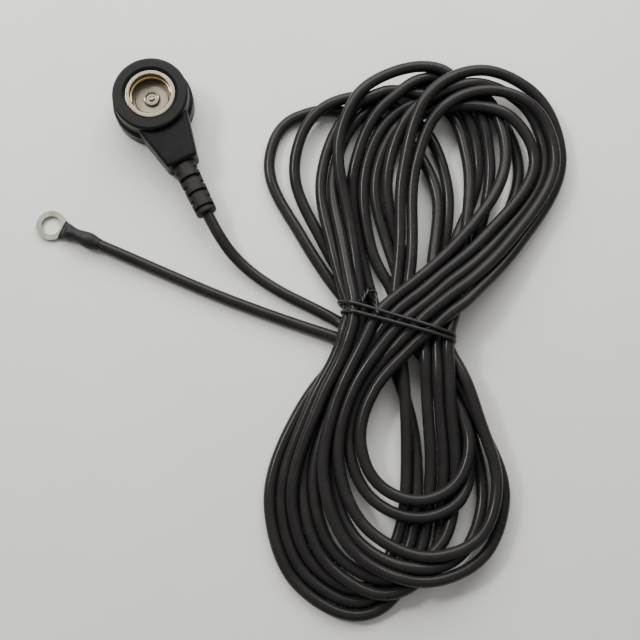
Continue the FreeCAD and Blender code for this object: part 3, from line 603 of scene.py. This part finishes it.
# Its wrinkles: the sizes of the broad and the fine ones, the fine ones' share, and how deep they are as
# a share of its width.
BROAD_WRINKLE = 1.9
FINE_WRINKLE = 0.8
FINE_SHARE = 0.5
WRINKLE_DEPTH = 0.022
# How far the tube's two ends close in on the terminal and on the cord.
END_AT_RING = 0.9
END_AT_CORD = 0.94


def make_shrink(material):
    """Shrunk tubing with small wrinkles, its two ends turned in round the ring and the cord."""
    stations = smooth_line(SHRINK_STATIONS, SHRINK_STEP)
    bm = bmesh.new()
    place = Matrix.Translation(RING_CENTRE * MM) @ Matrix.Rotation(TERMINAL_TURN, 4, "Z")

    def section(along, half_width, low, high, aside):
        middle = Vector((along, aside, (low + high) / 2)) * MM
        size = Vector(((high - low) / 2, half_width, 1.0)) * MM
        return place @ Matrix.LocRotScale(middle, Matrix.Rotation(math.pi / 2, 3, "Y").to_quaternion(), size)

    first = edges = ring_of(bm, SHRINK_SEGMENTS, section(*stations[0]))
    for before, station in zip(stations, stations[1:]):
        edges = carry(bm, edges, section(*station) @ section(*before).inverted())
    for vert in bm.verts:
        broad = noise.noise(vert.co / (BROAD_WRINKLE * MM))
        wrinkle = broad + FINE_SHARE * noise.noise(vert.co / (FINE_WRINKLE * MM))
        middle = place @ Vector(((place.inverted() @ vert.co).x, 0.0, SHRINK_AXIS * MM))
        vert.co += (vert.co - middle) * WRINKLE_DEPTH * wrinkle
    for end, shrunk in ((first, END_AT_RING), (edges, END_AT_CORD)):
        rim = list(dict.fromkeys(vert for edge in end for vert in edge.verts))
        heart = sum((vert.co for vert in rim), Vector()) / len(rim)
        inward = Matrix.Translation(heart) @ Matrix.Scale(shrunk, 4) @ Matrix.Translation(-heart)
        bmesh.ops.edgeloop_fill(bm, edges=carry(bm, end, inward))
    return finish_piece(bm, "shrink_tube", material)


# ---------------------------------------------------------------- parts of finishes


def new_group(name, inputs, outputs):
    """An empty shader node group with named sockets: (label, kind, starting value)."""
    group = bpy.data.node_groups.new(name, "ShaderNodeTree")
    for label, kind, value in inputs:
        socket = group.interface.new_socket(name=label, in_out="INPUT", socket_type="NodeSocket" + kind)
        if value is not None:
            socket.default_value = value
    for label, kind in outputs:
        group.interface.new_socket(name=label, in_out="OUTPUT", socket_type="NodeSocket" + kind)
    return group


def add_node(tree, kind, values=(), **settings):
    """A node with its settings, and its inputs' values or the sockets that feed them."""
    node = tree.nodes.new("ShaderNode" + kind)
    for setting, value in settings.items():
        setattr(node, setting, value)
    for label, value in dict(values).items():
        if isinstance(value, bpy.types.NodeSocket):
            tree.links.new(value, node.inputs[label])
        else:
            node.inputs[label].default_value = value
    return node


def make_mottle_group():
    """Soft, uneven patches: a value that wanders between Low and High."""
    inputs = (("Vector", "Vector", None), ("Size", "Float", 200.0), ("Low", "Float", 0.0),
              ("High", "Float", 1.0))
    group = new_group("mottle", inputs, (("Value", "Float"),))
    given = group.nodes.new("NodeGroupInput").outputs
    patches = add_node(group, "TexNoise", {"Vector": given["Vector"], "Scale": given["Size"],
                                           "Detail": 4.0, "Roughness": 0.6})
    spread = add_node(group, "MapRange", {"Value": patches.outputs["Fac"], "From Min": 0.33,
                                          "From Max": 0.67, "To Min": given["Low"],
                                          "To Max": given["High"]})
    group.links.new(spread.outputs["Result"], group.nodes.new("NodeGroupOutput").inputs["Value"])
    return group


def make_grain_group():
    """The height of a moulded or drawn surface: shallow waves under a fine grain."""
    inputs = (("Vector", "Vector", None), ("Size", "Float", 2500.0), ("Waves", "Float", 0.4))
    group = new_group("grain", inputs, (("Height", "Float"),))
    given = group.nodes.new("NodeGroupInput").outputs
    fine = add_node(group, "TexNoise", {"Vector": given["Vector"], "Scale": given["Size"],
                                        "Detail": 3.0})
    broad_size = add_node(group, "Math", {0: given["Size"], 1: 0.12}, operation="MULTIPLY")
    broad = add_node(group, "TexNoise", {"Vector": given["Vector"], "Scale": broad_size.outputs[0]})
    height = add_node(group, "Math", {0: broad.outputs["Fac"], 1: given["Waves"], 2: fine.outputs["Fac"]},
                      operation="MULTIPLY_ADD")
    group.links.new(height.outputs[0], group.nodes.new("NodeGroupOutput").inputs["Height"])
    return group


def make_dust_group():
    """Where pale dust and lint rest: thin specks and a faint film on whatever faces up."""
    inputs = (("Vector", "Vector", None), ("Amount", "Float", 0.1), ("Size", "Float", 900.0))
    group = new_group("dust", inputs, (("Mask", "Float"),))
    given = group.nodes.new("NodeGroupInput").outputs
    facing = add_node(group, "SeparateXYZ", {"Vector": add_node(group, "NewGeometry").outputs["Normal"]})
    upward = add_node(group, "MapRange", {"Value": facing.outputs["Z"], "From Min": 0.2, "From Max": 1.0})
    lint = add_node(group, "TexNoise", {"Vector": given["Vector"], "Scale": given["Size"], "Detail": 6.0,
                                        "Roughness": 0.75})
    specks = add_node(group, "MapRange", {"Value": lint.outputs["Fac"], "From Min": 0.52,
                                          "From Max": 0.78, "To Min": 0.15, "To Max": 1.0})
    resting = add_node(group, "Math", {0: upward.outputs["Result"], 1: specks.outputs["Result"]},
                       operation="MULTIPLY")
    mask = add_node(group, "Math", {0: resting.outputs[0], 1: given["Amount"]},
                    operation="MULTIPLY")
    group.links.new(mask.outputs[0], group.nodes.new("NodeGroupOutput").inputs["Mask"])
    return group


def make_scuff_group():
    """Fine rubbed lines, a few long scratches among many short ones, all running one way."""
    inputs = (("Vector", "Vector", None), ("Amount", "Float", 0.3), ("Size", "Float", 700.0))
    group = new_group("scuffs", inputs, (("Mask", "Float"),))
    given = group.nodes.new("NodeGroupInput").outputs
    drawn = add_node(group, "Mapping", {"Vector": given["Vector"], "Rotation": (0.0, 0.0, 0.7),
                                        "Scale": (0.12, 1.0, 1.0)})
    lines = add_node(group, "TexNoise", {"Vector": drawn.outputs["Vector"], "Scale": given["Size"],
                                         "Detail": 5.0, "Roughness": 0.7, "Distortion": 0.3})
    sharp = add_node(group, "MapRange", {"Value": lines.outputs["Fac"], "From Min": 0.56,
                                         "From Max": 0.66})
    mask = add_node(group, "Math", {0: sharp.outputs["Result"], 1: given["Amount"]},
                    operation="MULTIPLY")
    group.links.new(mask.outputs[0], group.nodes.new("NodeGroupOutput").inputs["Mask"])
    return group


MOTTLE = make_mottle_group()
GRAIN = make_grain_group()
DUST = make_dust_group()
SCUFFS = make_scuff_group()


def place_group(tree, group, values):
    """One use of a node group in a material, with its own values."""
    node = tree.nodes.new("ShaderNodeGroup")
    node.node_tree = group
    for label, value in values.items():
        if isinstance(value, bpy.types.NodeSocket):
            tree.links.new(value, node.inputs[label])
        else:
            node.inputs[label].default_value = value
    return node.outputs[0]


def blend_colour(tree, share, first, second):
    """Two colours, or the sockets that give them, mixed by a share."""
    mixer = add_node(tree, "Mix", {"Factor": share}, data_type="RGBA")
    for socket, colour in ((mixer.inputs[6], first), (mixer.inputs[7], second)):
        if isinstance(colour, bpy.types.NodeSocket):
            tree.links.new(colour, socket)
        else:
            socket.default_value = (*colour, 1.0)
    return mixer.outputs[2]


DUST_COLOUR = (0.42, 0.41, 0.39)
# How much rougher a scuff and dust make a surface, and how much finer than its colour its gloss varies.
SCUFF_ROUGHNESS = 0.25
DUST_ROUGHNESS = 0.5
GLOSS_DETAIL = 2.7


def base_finish(name, deep, pale, rough, patch_size, grain_size, grain_depth, dust=0.0, scuffs=0.0,
                scuff_colour=None, metallic=0.0, specular=0.5, waves=0.4):
    """A finish whose colour, roughness and surface all vary: deep and pale are the ends of its colour
    and rough those of its roughness; sizes are in features per metre, the grain's depth in metres."""
    material = bpy.data.materials.new(name)
    material.use_nodes = True
    tree = material.node_tree
    shader = tree.nodes["Principled BSDF"]
    shader.inputs["Metallic"].default_value = metallic
    shader.inputs["Specular IOR Level"].default_value = specular
    spot = add_node(tree, "TexCoord").outputs["Object"]
    patches = place_group(tree, MOTTLE, {"Vector": spot, "Size": patch_size})
    colour = blend_colour(tree, patches, deep, pale)
    gloss = place_group(tree, MOTTLE, {"Vector": spot, "Size": patch_size * GLOSS_DETAIL,
                                       "Low": rough[0], "High": rough[1]})
    if scuffs:
        rubbed = place_group(tree, SCUFFS, {"Vector": spot, "Amount": scuffs})
        colour = blend_colour(tree, rubbed, colour, scuff_colour or pale)
        gloss = add_node(tree, "Math", {0: rubbed, 1: SCUFF_ROUGHNESS, 2: gloss},
                         operation="MULTIPLY_ADD").outputs[0]
    if dust:
        film = place_group(tree, DUST, {"Vector": spot, "Amount": dust})
        colour = blend_colour(tree, film, colour, DUST_COLOUR)
        gloss = add_node(tree, "Math", {0: film, 1: DUST_ROUGHNESS, 2: gloss},
                         operation="MULTIPLY_ADD").outputs[0]
    tree.links.new(colour, shader.inputs["Base Color"])
    tree.links.new(gloss, shader.inputs["Roughness"])
    height = place_group(tree, GRAIN, {"Vector": spot, "Size": grain_size, "Waves": waves})
    bump = add_node(tree, "Bump", {"Height": height, "Strength": 1.0, "Distance": grain_depth})
    tree.links.new(bump.outputs["Normal"], shader.inputs["Normal"])
    return material


# Nickel plate: the rings left by drawing it per metre, the fine ribs round its upright walls, how much
# higher than the rings those stand, and the height of the rings.
NICKEL_RINGS = 900.0
NICKEL_RIBS = 84.0
RIB_HEIGHT = 9.0
RING_HEIGHT = 0.000004


def make_nickel_finish(name, deep, pale, rough):
    """Warm nickel plate: rings left by drawing it, and fine upright ribs on its walls."""
    material = base_finish(name, deep, pale, rough, patch_size=180.0, grain_size=3000.0,
                           grain_depth=0.000002, scuffs=0.03, scuff_colour=(0.30, 0.27, 0.22),
                           metallic=1.0)
    tree = material.node_tree
    shader = tree.nodes["Principled BSDF"]
    spot = tree.nodes["Texture Coordinate"].outputs["Object"]
    rings = add_node(tree, "TexWave", {"Vector": spot, "Scale": NICKEL_RINGS, "Distortion": 0.6,
                                       "Detail": 2.0}, wave_type="RINGS", rings_direction="Z")
    place = add_node(tree, "SeparateXYZ", {"Vector": spot})
    angle = add_node(tree, "Math", {0: place.outputs["Y"], 1: place.outputs["X"]},
                     operation="ARCTAN2")
    wave = add_node(tree, "Math", {0: angle.outputs[0], 1: NICKEL_RIBS}, operation="MULTIPLY")
    ribs = add_node(tree, "Math", {0: wave.outputs[0]}, operation="SINE")
    facing = add_node(tree, "SeparateXYZ", {"Vector": add_node(tree, "NewGeometry").outputs["Normal"]})
    level = add_node(tree, "Math", {0: facing.outputs["Z"]}, operation="ABSOLUTE")
    upright = add_node(tree, "MapRange", {"Value": level.outputs[0], "From Min": 0.2, "From Max": 0.5,
                                          "To Min": RIB_HEIGHT, "To Max": 0.0})
    height = add_node(tree, "Math", {0: ribs.outputs[0], 1: upright.outputs["Result"],
                                     2: rings.outputs["Fac"]}, operation="MULTIPLY_ADD")
    drawn = add_node(tree, "Bump", {"Height": height.outputs[0], "Distance": RING_HEIGHT,
                                    "Normal": tree.nodes["Bump"].outputs["Normal"]})
    tree.links.new(drawn.outputs["Normal"], shader.inputs["Normal"])
    return material


# ---------------------------------------------------------------- finishes

# Mouldings and tubes, by their material slots, and the table.
PLAIN_LOOKS = {
    "cord_jacket": dict(
        deep=(0.0140, 0.0132, 0.0132), pale=(0.0200, 0.0190, 0.0188), rough=(0.20, 0.29),
        patch_size=130.0, grain_size=2600.0, grain_depth=0.000008, dust=0.02, specular=0.17),
    "housing_plastic": dict(
        deep=(0.0058, 0.0055, 0.0060), pale=(0.0084, 0.0079, 0.0082), rough=(0.32, 0.44),
        patch_size=160.0, grain_size=3200.0, grain_depth=0.000014, dust=0.02, scuffs=0.08,
        scuff_colour=(0.014, 0.014, 0.014), specular=0.13),
    "relief_rubber": dict(
        deep=(0.0100, 0.0094, 0.0091), pale=(0.0160, 0.0150, 0.0143), rough=(0.50, 0.64),
        patch_size=260.0, grain_size=2800.0, grain_depth=0.00003, dust=0.04, specular=0.22),
    "shrink_tube": dict(
        deep=(0.0090, 0.0084, 0.0092), pale=(0.0145, 0.0138, 0.0146), rough=(0.44, 0.58),
        patch_size=300.0, grain_size=2200.0, grain_depth=0.00003, dust=0.035, specular=0.22,
        waves=1.6),
    "tie_plastic": dict(
        deep=(0.0110, 0.0106, 0.0108), pale=(0.0180, 0.0172, 0.0170), rough=(0.24, 0.36),
        patch_size=400.0, grain_size=2400.0, grain_depth=0.00001, dust=0.02, specular=0.30),
    "resistor_coat": dict(
        deep=(0.56, 0.43, 0.25), pale=(0.76, 0.63, 0.42), rough=(0.25, 0.4),
        patch_size=600.0, grain_size=2500.0, grain_depth=0.00001),
    "pale_paper": dict(
        deep=(0.735, 0.731, 0.708), pale=(0.765, 0.762, 0.742), rough=(0.7, 0.85),
        patch_size=14.0, grain_size=900.0, grain_depth=0.00002, specular=0.2),
}
# Bare metals: the ends of the colour, those of the roughness, patch size and scuffs.
METAL_LOOKS = {
    "spring_brass": ((0.70, 0.52, 0.19), (0.86, 0.68, 0.30), (0.14, 0.26), 500.0, 0.1),
    "tinned_metal": ((0.19, 0.195, 0.16), (0.27, 0.275, 0.23), (0.40, 0.58), 420.0, 0.4),
    "zinc_steel": ((0.48, 0.49, 0.50), (0.62, 0.62, 0.62), (0.30, 0.45), 300.0, 0.4),
    "solder": ((0.52, 0.52, 0.51), (0.70, 0.70, 0.68), (0.18, 0.36), 900.0, 0.1),
    "copper_strand": ((0.60, 0.30, 0.17), (0.80, 0.46, 0.28), (0.25, 0.40), 700.0, 0.2),
}
METAL_GRAIN = dict(grain_size=2600.0, grain_depth=0.00001, metallic=1.0)
# The nickel parts, as the ends of the colour and those of the roughness. The rim's plate is a shade darker
# than the cup's, which is painted shade that tones down the lamps' glare on the rim, and the cup's paler
# tone is painted light that lifts its shaded inner wall.
NICKEL_LOOKS = {
    "nickel_rim_painted_shade": ((0.190, 0.165, 0.124), (0.245, 0.215, 0.166), (0.22, 0.32)),
    "nickel_cup_painted_light": ((0.200, 0.176, 0.136), (0.265, 0.235, 0.186), (0.42, 0.52)),
    "nickel_eyelet": ((0.185, 0.170, 0.135), (0.255, 0.235, 0.190), (0.12, 0.20)),
}
# The finish of each carried-over node.
FINISHED_NODES = {
    "housing_plastic": ("rear_shell", "front_shell"),
    "relief_rubber": ("strain_relief",),
    "nickel_rim_painted_shade": ("socket_shell",),
    "nickel_eyelet": ("socket_eyelet",),
    "nickel_cup_painted_light": ("socket_cup",),
    "spring_brass": ("retaining_spring",),
    "zinc_steel": ("backing_washer",),
    "tinned_metal": ("ring_terminal", "solder_tag", "lead_splice", "resistor_caps", "resistor_leads"),
    "solder": ("solder_joint",),
    "resistor_coat": ("resistor_body",),
    "copper_strand": ("snap_conductor", "terminal_conductor"),
    "cord_jacket": ("cord_tail",),
    "shrink_tube": ("splice_sleeve",),
}

# ---------------------------------------------------------------- the object, put together

finishes = {name: base_finish(name, **look) for name, look in PLAIN_LOOKS.items()}
for name, (deep, pale, rough, patch_size, scuffs) in METAL_LOOKS.items():
    finishes[name] = base_finish(name, deep, pale, rough, patch_size, scuffs=scuffs, **METAL_GRAIN)
for name, (deep, pale, rough) in NICKEL_LOOKS.items():
    finishes[name] = make_nickel_finish(name, deep, pale, rough)

for finish_name, node_names in FINISHED_NODES.items():
    for node_name in node_names:
        nodes[node_name].data.materials.clear()
        nodes[node_name].data.materials.append(finishes[finish_name])

turns = settled_hank()
cord = make_cord(turns)
cord.data.materials.append(finishes["cord_jacket"])
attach(cord, "cord_assembly")
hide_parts("snap_lead", "cord_hank", "ring_lead")
tie_turns = make_tie_turns(turns, finishes["tie_plastic"])
tie_ends = make_tie_ends(turns, finishes["tie_plastic"])
shrink = make_shrink(finishes["shrink_tube"])
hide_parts("heat_shrink")

bpy.ops.mesh.primitive_plane_add(size=TABLE_SIZE)
floor = bpy.context.object
floor.name = "floor"
floor.data.materials.append(finishes["pale_paper"])
